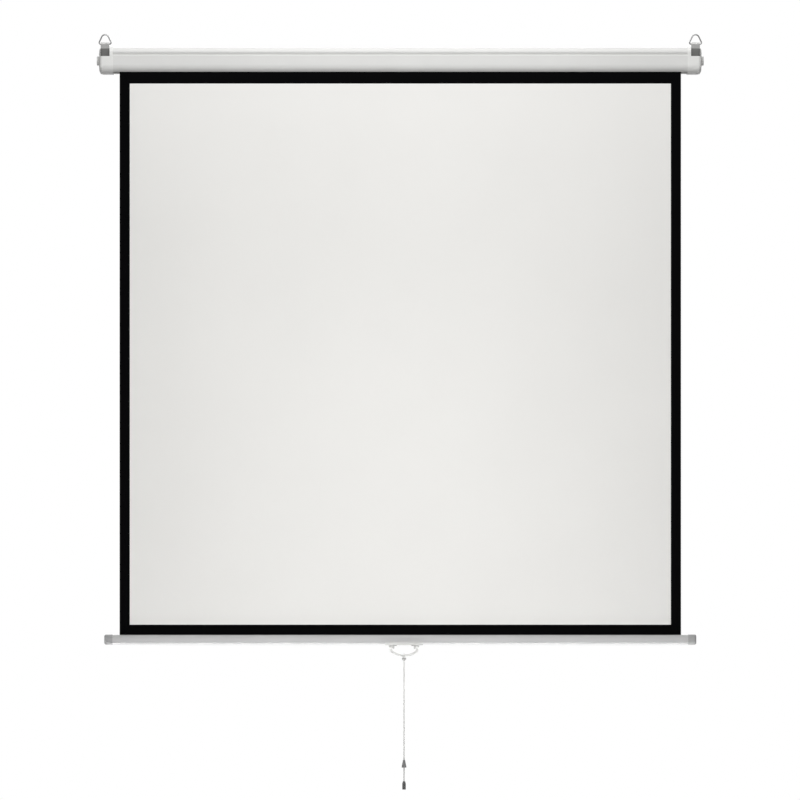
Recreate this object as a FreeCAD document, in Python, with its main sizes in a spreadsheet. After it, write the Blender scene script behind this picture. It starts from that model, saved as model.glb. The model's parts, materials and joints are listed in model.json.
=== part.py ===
import FreeCAD, Part
import math
import os
import Sketcher
from types import SimpleNamespace
from FreeCAD import Placement, Rotation, Vector

# Pull-down projection screen, shown lowered, hung by two wire rings.
# Millimetres. X runs along the casing, the picture faces -Y and Z is up.
# The origin lies midway between the rings, at the height where their hooks bear.

DRIVING_SIZES = {
    # Picture area and fabric
    "picture_width": 1600,
    "picture_height": 1600,
    "side_border": 30,
    "top_drop": 31,
    "bottom_border": 30,
    "fabric_thick": 0.38,
    "spare_turns": 2,
    "sheet_gap": 0.3,
    # Casing profile
    "hang_drop": 39,
    "side_margin": 60,
    "casing_height": 74,
    "casing_depth": 70,
    "casing_wall": 1.2,
    "front_round": 24,
    "shoulder_round": 12,
    "back_round": 8.5,
    "groove_drop": 13.5,
    "groove_width": 9,
    "groove_depth": 3.2,
    "groove_brow": 7,
    "slot_width": 7,
    "slot_return": 6,
    "port_bore": 3.5,
    "port_wall": 1.5,
    "port_bite": 0.6,
    # End caps
    "cap_gap": 0.3,
    "cap_wall": 1.6,
    "cap_ledge": 1.5,
    "end_wall": 3,
    "socket_depth": 10,
    "cap_round": 10,
    "cap_inner_round": 5,
    "hub_diameter": 27,
    "hub_proud": 8,
    "hub_floor": 2,
    "hub_edge": 2,
    "notch_drop": 24,
    "notch_room": 0.5,
    "post_wall": 1.6,
    # Hanging straps and rings
    "strap_thick": 2.5,
    "strap_width": 26,
    "strap_room": 2,
    "strap_leaf_front": 12,
    "strap_leaf_depth": 20,
    "strap_low_inset": 17,
    "strap_top_inset": 10,
    "ring_wire": 4,
    "ring_play": 0.2,
    "ring_side_room": 2.5,
    "ring_height": 26,
    "ring_corner": 4.5,
    "ring_top_round": 11,
    # Bearings of the roller
    "bush_diameter": 14,
    "bush_flange_diameter": 20,
    "bush_flange": 2,
    "bush_reach": 5,
    "fit_gap": 0.05,
    "running_gap": 0.1,
    # Roller
    "tube_margin": 20,
    "tube_diameter": 38,
    "tube_wall": 1,
    "plug_length": 35,
    "plug_flange": 3,
    "plug_rim": 0.4,
    "pin_diameter": 8,
    "tang_thick": 4,
    "tang_length": 9,
    # Spring motor
    "spring_wire": 2.4,
    "spring_bore": 21,
    "spring_pitch": 10,
    "spring_turns": 10,
    "spring_gap": 0.3,
    "spring_seat": 14,
    "anchor_flange": 3,
    "anchor_flange_diameter": 30,
    "spindle_overhang": 6,
    # Ratchet lock
    "lock_gap": 0.3,
    "ratchet_diameter": 18.4,
    "ratchet_thick": 5,
    "notch_depth": 2.8,
    "pawl_pin_circle": 27.2,
    "pawl_pin_diameter": 4,
    "pawl_pin_seat": 7,
    "pawl_pin_head": 1.2,
    "pawl_pin_head_diameter": 7,
    "pawl_eye_diameter": 7.8,
    "pawl_release": 0.6,
    "pawl_nose": 3,
    "pawl_nose_length": 5.7,
    # Bottom bar
    "bar_margin": 45,
    "bar_height": 28,
    "bar_depth": 16,
    "bar_wall": 1.4,
    "bar_slot": 3,
    "bar_cap_length": 24,
    "bar_cap_proud": 1,
    "bar_cap_round": 5,
    "bar_spigot": 16,
    "hem_rod_diameter": 5,
    "hem_seat_gap": 0.3,
    # Handle
    "handle_offset": 11,
    "saddle_width": 112,
    "saddle_wall": 2.5,
    "saddle_gap": 0.2,
    "saddle_rise": 1,
    "lug_width": 6,
    "bail_width": 78,
    "bail_rod": 7,
    "bail_corner": 10,
    "bail_sweep": 60,
    "bail_drop": 25.5,
    "bail_eye_diameter": 10,
    "bail_eye_width": 8,
    "bail_room": 0.6,
    "bail_side_gap": 0.4,
    "bail_pin_diameter": 4,
    "bail_pin_head": 1.5,
    "bail_pin_head_diameter": 7.5,
    # Pull cord
    "cord_diameter": 3.4,
    "loop_gap": 0.3,
    "loop_drop": 2,
    "strand_gap": 0.2,
    "ferrule_length": 8.5,
    "ferrule_diameter": 12,
    "ferrule_mouth": 5.5,
    "ferrule_wall": 1,
    "ferrule_seat": 3,
    "cord_to_bead": 292.8,
    "bead_length": 23,
    "bead_diameter": 14,
    "bead_neck": 5.5,
    "bead_rim": 3,
    "bead_to_knob": 41,
    "knob_length": 24,
    "knob_diameter": 10.5,
    "knob_neck": 7,
    "knob_rim": 17,
    # Fasteners
    "cap_screw_diameter": 3.4,
    "cap_screw_seat": 6,
    "cap_screw_grip": 9,
    "cap_screw_room": 0.5,
    "cap_screw_head_diameter": 7,
    "cap_screw_head": 2.4,
    "strap_screw_diameter": 4,
    "strap_screw_length": 8,
    "strap_screw_head_diameter": 8,
    "strap_screw_head": 2.8,
    "strap_screw_inset": 6,
    "handle_screw_diameter": 3.5,
    "handle_screw_length": 9,
    "handle_screw_head_diameter": 7,
    "handle_screw_head": 2.2,
    "handle_screw_spacing": 50,
    "screw_play": 0.2,
    "head_rim": 0.5,
    "head_crown": 0.62,
    "recess_width": 0.3,
    "recess_reach": 0.5,
}

doc = FreeCAD.newDocument("projection_screen")
sheet = doc.addObject("Spreadsheet::Sheet", "sizes")
for row, (name, number) in enumerate(DRIVING_SIZES.items(), start=1):
    sheet.set(f"A{row}", name)
    sheet.set(f"B{row}", str(number))
    sheet.setAlias(f"B{row}", name)
doc.recompute()


class Size:
    """A length that carries its number and the formula that binds it to the sheet."""

    def __init__(self, value, formula):
        self.value = value
        self.formula = formula

    @staticmethod
    def of(other):
        return other if isinstance(other, Size) else Size(float(other), repr(float(other)))

    def joined(self, other, sign, value):
        return Size(value, f"({self.formula} {sign} {other.formula})")

    def __add__(self, other):
        other = Size.of(other)
        return self.joined(other, "+", self.value + other.value)

    def __sub__(self, other):
        other = Size.of(other)
        return self.joined(other, "-", self.value - other.value)

    def __mul__(self, other):
        other = Size.of(other)
        return self.joined(other, "*", self.value * other.value)

    def __truediv__(self, other):
        other = Size.of(other)
        return self.joined(other, "/", self.value / other.value)

    def __neg__(self):
        return Size(-self.value, f"(-1 * {self.formula})")

    def __radd__(self, other):
        return Size.of(other) + self

    def __rsub__(self, other):
        return Size.of(other) - self

    def __rmul__(self, other):
        return Size.of(other) * self


def root(size):
    """Square root of a size."""
    return Size(math.sqrt(size.value), f"sqrt({size.formula})")


def bind(thing, prop, size):
    """Tie one property of a document object to a size."""
    thing.setExpression(prop, Size.of(size).formula)


s = SimpleNamespace(**{name: Size(float(n), f"sizes.{name}") for name, n in DRIVING_SIZES.items()})

# Places that follow from the driving sizes
fabric_width = s.picture_width + 2 * s.side_border
half_length = fabric_width / 2 + s.side_margin
axis_z = -(s.hang_drop + s.casing_height / 2)
casing_bottom = -(s.hang_drop + s.casing_height)
picture_top = casing_bottom - s.top_drop
picture_bottom = picture_top - s.picture_height
bar_top = picture_bottom - s.bottom_border
bar_z = bar_top - s.bar_height / 2
chamber = s.strap_width + s.strap_room
cap_length = s.end_wall + chamber + s.socket_depth
casing_half = half_length - s.end_wall - chamber
tube_half = fabric_width / 2 + s.tube_margin
tube_radius = s.tube_diameter / 2
roll_radius = tube_radius + s.fit_gap + s.spare_turns * s.fabric_thick
sheet_y = -(roll_radius + s.sheet_gap + s.fabric_thick / 2)
bar_half = fabric_width / 2 + s.bar_margin

# The part's pieces, in the order in which they are written
pieces = []


def keep(thing, label):
    """Enter a finished object as a piece of the part."""
    thing.Label = label
    pieces.append(thing)
    return thing


def place(thing, x=0.0, y=0.0, z=0.0):
    """Tie an object's place to sizes."""
    for axis, size in zip("xyz", (x, y, z)):
        bind(thing, f"Placement.Base.{axis}", size)
    return thing


def fix(sketch, constraint, size):
    """Add a dimension to a sketch and tie it to a size."""
    index = sketch.addConstraint(constraint)
    sketch.renameConstraint(index, f"d{index}")
    sketch.setExpression(f"Constraints.d{index}", size.formula)


def pin(sketch, geo, pos, u, v):
    """Hold a point of a sketch at (u, v) from the sketch's origin."""
    for size, kind, axis in ((Size.of(u), "DistanceX", -2), (Size.of(v), "DistanceY", -1)):
        if size.value == 0.0:
            sketch.addConstraint(Sketcher.Constraint("PointOnObject", geo, pos, axis))
        else:
            fix(sketch, Sketcher.Constraint(kind, -1, 1, geo, pos, size.value), size)


def arc_through(start, end, centre, turn):
    """Arc from start to end about centre, turning to the left or to the right."""
    first, last = (start, end) if turn == "left" else (end, start)
    radius = math.dist(start, centre)
    circle = Part.Circle(Vector(*centre, 0), Vector(0, 0, 1), radius)
    angles = [math.atan2(p[1] - centre[1], p[0] - centre[0]) for p in (first, last)]
    if angles[1] <= angles[0]:
        angles[1] += 2 * math.pi
    return Part.ArcOfCircle(circle, *angles)


def draw(sketch, corners, closed=True):
    """Draw a run of lines and arcs. A corner is (u, v), or (u, v, (centre u, centre v), turn)
    where the run arrives by an arc."""
    places = [(Size.of(c[0]), Size.of(c[1])) for c in corners]
    numbers = [(u.value, v.value) for u, v in places]
    runs = [(i, i + 1) for i in range(len(corners) - 1)]
    if closed:
        runs.append((len(corners) - 1, 0))
    ends = []
    for a, b in runs:
        if len(corners[b]) == 2:
            line = Part.LineSegment(Vector(*numbers[a], 0), Vector(*numbers[b], 0))
            ends.append((sketch.addGeometry(line), 1, 2))
            continue
        centre, turn = corners[b][2:]
        middle = [Size.of(c) for c in centre]
        arc = arc_through(numbers[a], numbers[b], [c.value for c in middle], turn)
        geo = sketch.addGeometry(arc)
        ends.append((geo, 1, 2) if turn == "left" else (geo, 2, 1))
        flat = abs(numbers[b][0] - numbers[a][0]) >= abs(numbers[b][1] - numbers[a][1])
        kind, axis, size = ("DistanceY", -1, middle[1]) if flat else ("DistanceX", -2, middle[0])
        if size.value == 0.0:
            sketch.addConstraint(Sketcher.Constraint("PointOnObject", geo, 3, axis))
        else:
            fix(sketch, Sketcher.Constraint(kind, -1, 1, geo, 3, size.value), size)
    for (geo, first, last), (next_geo, next_first, _) in zip(ends, ends[1:]):
        sketch.addConstraint(Sketcher.Constraint("Coincident", geo, last, next_geo, next_first))
    if closed:
        sketch.addConstraint(
            Sketcher.Constraint("Coincident", ends[-1][0], ends[-1][2], ends[0][0], ends[0][1]))
    for (a, _), (geo, first, _) in zip(runs, ends):
        pin(sketch, geo, first, *places[a])
    if not closed:
        pin(sketch, ends[-1][0], ends[-1][2], *places[-1])


def belt(first, first_radius, second, second_radius):
    """Ends of the straight run that goes round the right of two circles, from the upper to the lower."""
    across, rise = second[0] - first[0], second[1] - first[1]
    far = across * across + rise * rise
    change = first_radius - second_radius
    along, aside = change / far, root(far - change * change) / far
    out = (along * across - aside * rise, along * rise + aside * across)
    return [tuple(c + radius * o for c, o in zip(centre, out))
            for centre, radius in ((first, first_radius), (second, second_radius))]


def circle(sketch, u, v, radius):
    """Draw a circle about (u, v)."""
    u, v, radius = Size.of(u), Size.of(v), Size.of(radius)
    geo = sketch.addGeometry(Part.Circle(Vector(u.value, v.value, 0), Vector(0, 0, 1), radius.value))
    pin(sketch, geo, 3, u, v)
    fix(sketch, Sketcher.Constraint("Radius", geo, radius.value), radius)


def rectangle(sketch, left, right, low, high):
    """Draw an upright rectangle."""
    draw(sketch, [(left, low), (right, low), (right, high), (left, high)])


def racetrack(sketch, width, height, middle=0.0):
    """Draw an upright oblong with half-round ends."""
    r = width / 2
    top = middle + height / 2 - r
    low = middle - height / 2 + r
    draw(sketch, [(-r, low, (0, low), "right"), (-r, top), (r, top, (0, top), "right"), (r, low)])


def rounded_box(sketch, grow):
    """Draw the casing's outer outline, grown by a size, without its groove and slot."""
    front = -s.casing_depth / 2 - grow
    back = s.casing_depth / 2 + grow
    top = s.casing_height / 2 + grow
    low = -s.casing_height / 2 - grow
    f = s.front_round + grow
    b = s.back_round + grow
    h = s.shoulder_round + grow
    draw(sketch, [
        (front + f, low, (front + f, low + f), "left"),
        (back - b, low),
        (back, low + b, (back - b, low + b), "left"),
        (back, top - b),
        (back - b, top, (back - b, top - b), "left"),
        (front + h, top),
        (front, top - h, (front + h, top - h), "left"),
        (front, low + f),
    ])


class Solid:
    """A piece made feature by feature in a body of its own."""

    def __init__(self, label):
        self.body = doc.addObject("PartDesign::Body", label)
        self.label = label
        self.count = 0

    def add(self, kind):
        self.count += 1
        return self.body.newObject(kind, f"{self.label}_{kind.split('::')[1]}_{self.count}")

    def plane(self, role):
        return next(f for f in self.body.Origin.OriginFeatures if f.Role == role)

    def sketch(self, role="YZ_Plane", at=0.0):
        """Start a sketch on an origin plane, moved along its normal."""
        sketch = self.add("Sketcher::SketchObject")
        sketch.AttachmentSupport = (self.plane(role), [""])
        sketch.MapMode = "FlatFace"
        bind(sketch, "AttachmentOffset.Base.z", at)
        return sketch

    def feature(self, kind, sketch, length=None, back=False, both=False):
        feature = self.add(kind)
        feature.Profile = sketch
        feature.Reversed = back
        if both:
            feature.SideType = "Symmetric"
        if length is None:
            feature.Type = "ThroughAll"
        else:
            bind(feature, "Length", length)
        doc.recompute()
        return feature

    def pad(self, sketch, length, back=False, both=False):
        return self.feature("PartDesign::Pad", sketch, length, back, both)

    def pocket(self, sketch, length=None, back=False, both=False):
        """Cut a sketch away, and make sure that it met the solid."""
        before = self.body.Shape.Volume
        feature = self.feature("PartDesign::Pocket", sketch, length, back, both)
        if not self.body.Shape.Volume < before - 1e-3:
            raise RuntimeError(f"{feature.Name} cuts nothing")
        return feature

    def revolve(self, sketch, axis="H_Axis"):
        feature = self.add("PartDesign::Revolution")
        feature.Profile = sketch
        feature.ReferenceAxis = (sketch, [axis])
        feature.Angle = 360
        doc.recompute()
        return feature

    def sweep(self, profile, path):
        feature = self.add("PartDesign::AdditivePipe")
        feature.Profile = profile
        feature.Spine = path
        doc.recompute()
        return feature

    def mirror(self, features, role="YZ_Plane"):
        """Repeat features on the other side of an origin plane."""
        feature = self.add("PartDesign::Mirrored")
        feature.Originals = features
        feature.MirrorPlane = (self.plane(role), [""])
        self.body.Tip = feature
        doc.recompute()
        return feature

    def polar(self, features, times):
        """Repeat features round the X axis."""
        feature = self.add("PartDesign::PolarPattern")
        feature.Originals = features
        feature.Axis = (self.plane("X_Axis"), [""])
        feature.Angle = 360
        feature.Occurrences = times
        self.body.Tip = feature
        doc.recompute()
        return feature

    def fillet(self, base, radius, chosen):
        """Round the edges of a feature that a test picks out."""
        names = [f"Edge{i}" for i, edge in enumerate(base.Shape.Edges, start=1) if chosen(edge)]
        feature = self.add("PartDesign::Fillet")
        feature.Base = (base, names)
        bind(feature, "Radius", radius)
        doc.recompute()
        return feature

    def done(self, x=0.0, y=0.0, z=0.0):
        return keep(place(self.body, x, y, z), self.label)


def in_plane(axis, size):
    """Test for edges that lie in the plane where one coordinate has a given size."""
    low, high = f"{axis}Min", f"{axis}Max"

    def test(edge):
        box = edge.BoundBox
        return max(abs(getattr(box, low) - size.value), abs(getattr(box, high) - size.value)) < 1e-4

    return test


def cylinder(name, radius, length, x, y, z, along="x"):
    """A plain round bar that starts at a place and runs along +X or +Z."""
    bar = doc.addObject("Part::Cylinder", name)
    bind(bar, "Radius", radius)
    bind(bar, "Height", length)
    if along == "x":
        bar.Placement = Placement(Vector(), Rotation(Vector(0, 1, 0), 90))
    return place(bar, x, y, z)


def fused(name, shapes):
    """Join shapes into one solid."""
    joined = doc.addObject("Part::MultiFuse", name)
    joined.Shapes = shapes
    return joined


def cut(name, base, tool):
    """Cut a tool from a base."""
    rest = doc.addObject("Part::Cut", name)
    rest.Base = base
    rest.Tool = tool
    return rest


def sleeve(name, outer, bore, length, x, y, z):
    """A round tube along X."""
    return cut(name, cylinder(f"{name}_outside", outer, length, x, y, z),
               cylinder(f"{name}_inside", bore, length, x, y, z))


def grouped(name, things):
    """Several separate solids that share one node."""
    group = doc.addObject("Part::Compound", name)
    group.Links = things
    return keep(group, name)


def mirrored(name, source):
    """The left-hand copy of a right-hand piece."""
    copy = doc.addObject("Part::Mirroring", name)
    copy.Source = source
    copy.Base = Vector(0, 0, 0)
    copy.Normal = Vector(1, 0, 0)
    return keep(copy, name)


# Casing: one folded line offset by the wall, with three screw ports along its length
port_radius = s.port_bore / 2 + s.port_wall
port_inset = s.casing_wall + port_radius - s.port_bite
port_places = [
    (s.casing_depth / 2 - port_inset, s.casing_height / 6),
    (s.casing_depth / 6, s.casing_height / 2 - port_inset),
    (0.0, -s.casing_height / 2 + port_inset),
]


def casing():
    front, back = -s.casing_depth / 2, s.casing_depth / 2
    low, top = -s.casing_height / 2, s.casing_height / 2
    groove = top - s.groove_drop
    slot_front = sheet_y - s.slot_width / 2
    slot_back = sheet_y + s.slot_width / 2
    round_y, round_z = front + s.front_round, low + s.front_round
    lip = round_z - root(s.front_round * s.front_round - (slot_front - round_y) * (slot_front - round_y))
    line = doc.addObject("Sketcher::SketchObject", "casing_line")
    line.Placement = Placement(Vector(), Rotation(Vector(1, 1, 1), 120))
    draw(line, [
        (slot_back, low + s.slot_return),
        (slot_back, low),
        (back - s.back_round, low),
        (back, low + s.back_round, (back - s.back_round, low + s.back_round), "left"),
        (back, top - s.back_round),
        (back - s.back_round, top, (back - s.back_round, top - s.back_round), "left"),
        (front + s.shoulder_round, top),
        (front, top - s.shoulder_round, (front + s.shoulder_round, top - s.shoulder_round), "left"),
        (front, groove),
        (front + s.groove_depth, groove - s.groove_brow),
        (front, groove - s.groove_width),
        (front, round_z),
        (slot_front, lip, (round_y, round_z), "left"),
        (slot_front, lip + s.slot_return),
    ], closed=False)
    wall = doc.addObject("Part::Offset2D", "casing_wall_section")
    wall.Source = line
    wall.Mode = "Skin"
    wall.Fill = True
    wall.Join = "Intersection"
    bind(wall, "Value", -s.casing_wall)
    shell = doc.addObject("Part::Extrusion", "casing_shell")
    shell.Base = wall
    shell.DirMode = "Custom"
    shell.Dir = Vector(1, 0, 0)
    shell.Symmetric = True
    shell.Solid = True
    bind(shell, "LengthFwd", 2 * casing_half)
    ports = [cylinder(f"casing_port_{i}", port_radius, 2 * casing_half, -casing_half, y, z)
             for i, (y, z) in enumerate(port_places)]
    bores = [cylinder(f"casing_bore_{i}", s.port_bore / 2, 2 * casing_half, -casing_half, y, z)
             for i, (y, z) in enumerate(port_places)]
    body = cut("casing", fused("casing_with_ports", [shell] + ports), fused("casing_bores", bores))
    keep(place(body, z=axis_z), "casing")


# End caps, straps and bushes: the right-hand ones, measured from the outer end face at x = 0
knuckle_bore = s.ring_wire / 2 + s.ring_play
knuckle_radius = knuckle_bore + s.strap_thick
ring_pivot = -s.ring_height - axis_z
leaf_front = -knuckle_radius
leaf_low = s.casing_height / 2 - s.notch_drop
strap_top = s.casing_height / 2 - s.strap_top_inset
strap_low = s.strap_low_inset - s.casing_height / 2
strap_screw_places = [(s.strap_leaf_depth - s.strap_screw_inset, z)
                      for z in (strap_top - s.strap_screw_inset, strap_low + s.strap_screw_inset)]


def end_cap():
    cap = Solid("right_end_cap")
    outer = cap.sketch()
    rounded_box(outer, s.cap_gap + s.cap_wall)
    block = cap.pad(outer, cap_length, back=True)
    cap.fillet(block, s.cap_round, in_plane("X", Size.of(0)))
    socket = cap.sketch(at=-cap_length)
    rounded_box(socket, s.cap_gap)
    cap.pocket(socket, s.socket_depth, back=True)
    room = cap.sketch(at=-cap_length)
    rounded_box(room, -s.cap_ledge)
    hollow = cap.pocket(room, cap_length - s.end_wall, back=True)
    cap.fillet(hollow, s.cap_inner_round, in_plane("X", -s.end_wall))
    posts = cap.sketch(at=-s.end_wall)
    recess_radius = s.cap_screw_head_diameter / 2 + s.cap_screw_room
    for y, z in port_places:
        circle(posts, y, z, recess_radius + s.post_wall)
    cap.pad(posts, chamber, back=True)
    hub = cap.sketch(at=-s.end_wall)
    circle(hub, 0, 0, s.hub_diameter / 2)
    boss = cap.pad(hub, s.end_wall + s.hub_proud)
    cap.fillet(boss, s.hub_edge, in_plane("X", s.hub_proud))
    bearing = cap.sketch(at=-s.end_wall)
    circle(bearing, 0, 0, s.bush_diameter / 2 + s.fit_gap)
    cap.pocket(bearing, s.end_wall + s.hub_proud - s.hub_floor, back=True)
    window = cap.sketch("XZ_Plane", at=-(leaf_front + s.strap_thick + s.notch_room))
    rectangle(window, -s.end_wall - chamber, -s.end_wall, leaf_low - s.notch_room, s.casing_height)
    cap.pocket(window, s.casing_depth, back=True)
    holes = cap.sketch(at=-s.end_wall - chamber)
    for y, z in port_places:
        circle(holes, y, z, s.cap_screw_diameter / 2 + s.screw_play)
    for y, z in strap_screw_places:
        circle(holes, y, z, s.strap_screw_diameter / 2 + s.screw_play)
    cap.pocket(holes, cap_length, back=True)
    recesses = cap.sketch(at=-s.cap_screw_seat)
    for y, z in port_places:
        circle(recesses, y, z, recess_radius)
    cap.pocket(recesses, s.cap_screw_seat, back=True)
    return cap.done(x=half_length, z=axis_z)


def hanging_strap():
    strap = Solid("right_hanging_strap")
    fold = ring_pivot - root(knuckle_radius * knuckle_radius - (knuckle_radius - s.strap_thick)
                             * (knuckle_radius - s.strap_thick))
    front = strap.sketch(at=-s.end_wall)
    axis = (0, ring_pivot)
    draw(front, [
        (leaf_front + s.strap_thick, leaf_low),
        (leaf_front + s.strap_thick, fold),
        (knuckle_radius, ring_pivot, axis, "left"),
        (-knuckle_radius, ring_pivot, axis, "left"),
        (leaf_front, leaf_low),
    ])
    circle(front, 0, ring_pivot, knuckle_bore)
    strap.pad(front, s.strap_width, back=True)
    side = strap.sketch(at=-s.end_wall)
    draw(side, [
        (-s.strap_leaf_front, strap_low),
        (s.strap_leaf_depth, strap_low),
        (s.strap_leaf_depth, strap_top),
        (leaf_front, strap_top),
        (leaf_front, leaf_low),
        (-s.strap_leaf_front, leaf_low),
    ])
    circle(side, 0, 0, s.bush_diameter / 2 + s.fit_gap)
    for y, z in strap_screw_places:
        circle(side, y, z, s.strap_screw_diameter / 2 + s.fit_gap)
    strap.pad(side, s.strap_thick, back=True)
    return strap.done(x=half_length, z=axis_z)


def hanging_ring():
    """A rounded triangle of wire, straight where the strap is rolled round it."""
    ring = Solid("right_hanging_ring")
    top = s.ring_height + s.ring_wire / 2
    half_base = s.strap_width / 2 + s.ring_side_room + s.ring_wire / 2
    crown = (Size.of(0), top - s.ring_top_round)
    corner = (half_base - s.ring_corner, s.ring_corner)
    high, low = belt(crown, s.ring_top_round, corner, s.ring_corner)
    wire = ring.sketch()
    circle(wire, 0, top, s.ring_wire / 2)
    path = ring.sketch("XZ_Plane")
    draw(path, [
        (0, top),
        (*high, crown, "right"),
        low,
        (corner[0], 0, corner, "right"),
        (0, 0),
    ], closed=False)
    half = ring.sweep(wire, path)
    ring.mirror([half])
    ring.done(x=half_length - s.end_wall - s.strap_width / 2, z=-s.ring_height)
    return ring.body


def bush(label, side, opening):
    """A flanged bush that lines the strap and the cap's hub."""
    lining = Solid(label)
    profile = lining.sketch("XY_Plane")
    inner = -side * (s.end_wall + s.strap_thick)
    flange = inner - side * s.bush_flange
    tip = side * s.bush_reach
    draw(profile, [
        (flange, 0), (flange, s.bush_flange_diameter / 2), (inner, s.bush_flange_diameter / 2),
        (inner, s.bush_diameter / 2), (tip, s.bush_diameter / 2), (tip, 0),
    ])
    lining.revolve(profile)
    opening(lining.sketch(at=tip), lining)
    lining.done(x=side * half_length, z=axis_z)


def round_bore(sketch, lining):
    circle(sketch, 0, 0, s.pin_diameter / 2 + s.running_gap)
    lining.pocket(sketch)


def flat_bore(sketch, lining):
    across, thick = s.pin_diameter / 2 + s.running_gap, s.tang_thick / 2 + s.running_gap
    rectangle(sketch, -across, across, -thick, thick)
    lining.pocket(sketch, back=True)


# Roller: tube, wound fabric, and a plug in each end
def roller_tube():
    tube = sleeve("roller_tube", tube_radius, tube_radius - s.tube_wall, 2 * tube_half,
                  -tube_half, 0, axis_z)
    keep(tube, "roller_tube")
    roll = sleeve("fabric_roll", roll_radius, tube_radius + s.fit_gap, fabric_width,
                  -fabric_width / 2, 0, axis_z)
    keep(roll, "fabric_roll")


def plug(label, side, bore, boss=None):
    """A moulded plug for one end of the tube. side is -1 on the left and 1 on the right."""
    moulding = Solid(label)
    radius = tube_radius - s.tube_wall - s.fit_gap
    rim = tube_radius - s.plug_rim
    inner_end = -side * s.plug_length
    outer_end = side * s.plug_flange
    corners = [(outer_end, bore), (outer_end, rim), (0, rim), (0, radius), (inner_end, radius)]
    if boss is None:
        corners += [(inner_end, bore)]
    else:
        boss_end = -side * (s.plug_length + s.spring_seat)
        corners += [(inner_end, boss), (boss_end, boss), (boss_end, bore)]
    profile = moulding.sketch("XY_Plane")
    draw(profile, corners)
    moulding.revolve(profile)
    return moulding


spring_boss = s.spring_bore / 2 - s.spring_gap
flange_face = -tube_half - s.plug_flange
pawl_circle = s.pawl_pin_circle / 2
spring_length = s.spring_pitch * s.spring_turns
spring_start = -tube_half + s.plug_length + s.lock_gap
anchor_face = spring_start + spring_length + s.spring_wire + s.lock_gap


def roller_ends():
    idle = plug("idle_plug", 1, s.pin_diameter / 2 + s.fit_gap)
    idle.done(x=tube_half, z=axis_z)
    pin_start = tube_half - s.plug_length
    pin_end = half_length + s.bush_reach
    keep(cylinder("idle_pin", s.pin_diameter / 2, pin_end - pin_start, pin_start, 0, axis_z), "idle_pin")
    lock = plug("lock_plug", -1, s.pin_diameter / 2 + s.running_gap, spring_boss)
    seats = lock.sketch(at=-s.plug_flange)
    for height in (pawl_circle, -pawl_circle):
        circle(seats, 0, height, s.pawl_pin_diameter / 2 + s.fit_gap)
    lock.pocket(seats, s.pawl_pin_seat + s.fit_gap, back=True)
    lock.done(x=-tube_half, z=axis_z)


# Spring motor: a spindle held still by its flat tang, and the spring that winds round it
def spindle():
    rod = Solid("spring_spindle")
    shoulder = -half_length + s.end_wall + s.strap_thick + s.bush_flange + s.lock_gap
    inner_end = anchor_face + s.spring_seat + s.anchor_flange + s.spindle_overhang
    bar = rod.sketch(at=shoulder)
    circle(bar, 0, 0, s.pin_diameter / 2)
    rod.pad(bar, inner_end - shoulder)
    tang = rod.sketch(at=shoulder)
    rectangle(tang, -s.pin_diameter / 2, s.pin_diameter / 2, -s.tang_thick / 2, s.tang_thick / 2)
    rod.pad(tang, s.tang_length, back=True)
    rod.done(z=axis_z)


def spring_anchor():
    anchor = Solid("spring_anchor")
    bore = s.pin_diameter / 2 + s.fit_gap
    profile = anchor.sketch("XY_Plane")
    draw(profile, [
        (-s.spring_seat, bore), (-s.spring_seat, spring_boss), (0, spring_boss),
        (0, s.anchor_flange_diameter / 2), (s.anchor_flange, s.anchor_flange_diameter / 2),
        (s.anchor_flange, bore),
    ])
    anchor.revolve(profile)
    anchor.done(x=anchor_face, z=axis_z)


WIRE_SIDES = 8


def torsion_spring():
    """One unbroken wire, wound in quarter turns and drawn with a few flat sides."""
    wire, pitch = s.spring_wire.value, s.spring_pitch.value
    radius = (s.spring_bore.value + wire) / 2
    quarters = int(round(4 * s.spring_turns.value))

    def on_helix(quarter):
        angle = quarter * math.pi / 2
        return Vector(pitch * quarter / 4, radius * math.sin(angle), radius * math.cos(angle))

    edges = [Part.Arc(on_helix(q), on_helix(q + 0.5), on_helix(q + 1)).toShape() for q in range(quarters)]
    path = Part.Wire(edges)
    start = edges[0].tangentAt(edges[0].FirstParameter)
    outward = Vector(0, 0, 1)
    aside = start.cross(outward)
    steps = [2 * math.pi * i / WIRE_SIDES for i in range(WIRE_SIDES + 1)]
    section = Part.makePolygon([on_helix(0) + (outward * math.cos(a) + aside * math.sin(a)) * (wire / 2)
                                for a in steps])
    samples = [on_helix(q / 8) for q in range(8 * quarters + 1)]
    turn = 32
    gap = min((a - b).Length for a, b in zip(samples, samples[turn:])) - wire
    print(f"torsion spring: least gap between turns {gap:.2f} mm")
    coil = doc.addObject("Part::Feature", "torsion_spring")
    coil.Shape = Part.Wire(path).makePipeShell([section], True, False)
    coil.Placement = Placement(
        Vector(spring_start.value + wire / 2, 0, axis_z.value), Rotation())
    keep(coil, "torsion_spring")


# Ratchet lock: a notched wheel on the spindle, and two pawls on the lock plug that drop into it
DIAGONAL = math.sqrt(0.5)
NOTCH_FACE, NOTCH_FLOOR_END, NOTCH_RAMP_END = 30, 58, 88
NOTCHES = 4
PAWL_BACK, PAWL_UNDERSIDE = 12, 138


def toward(radius, degrees):
    """The place at a radius and an angle from straight up towards the front."""
    angle = math.radians(degrees)
    return radius * -math.sin(angle), radius * math.cos(angle)


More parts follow.
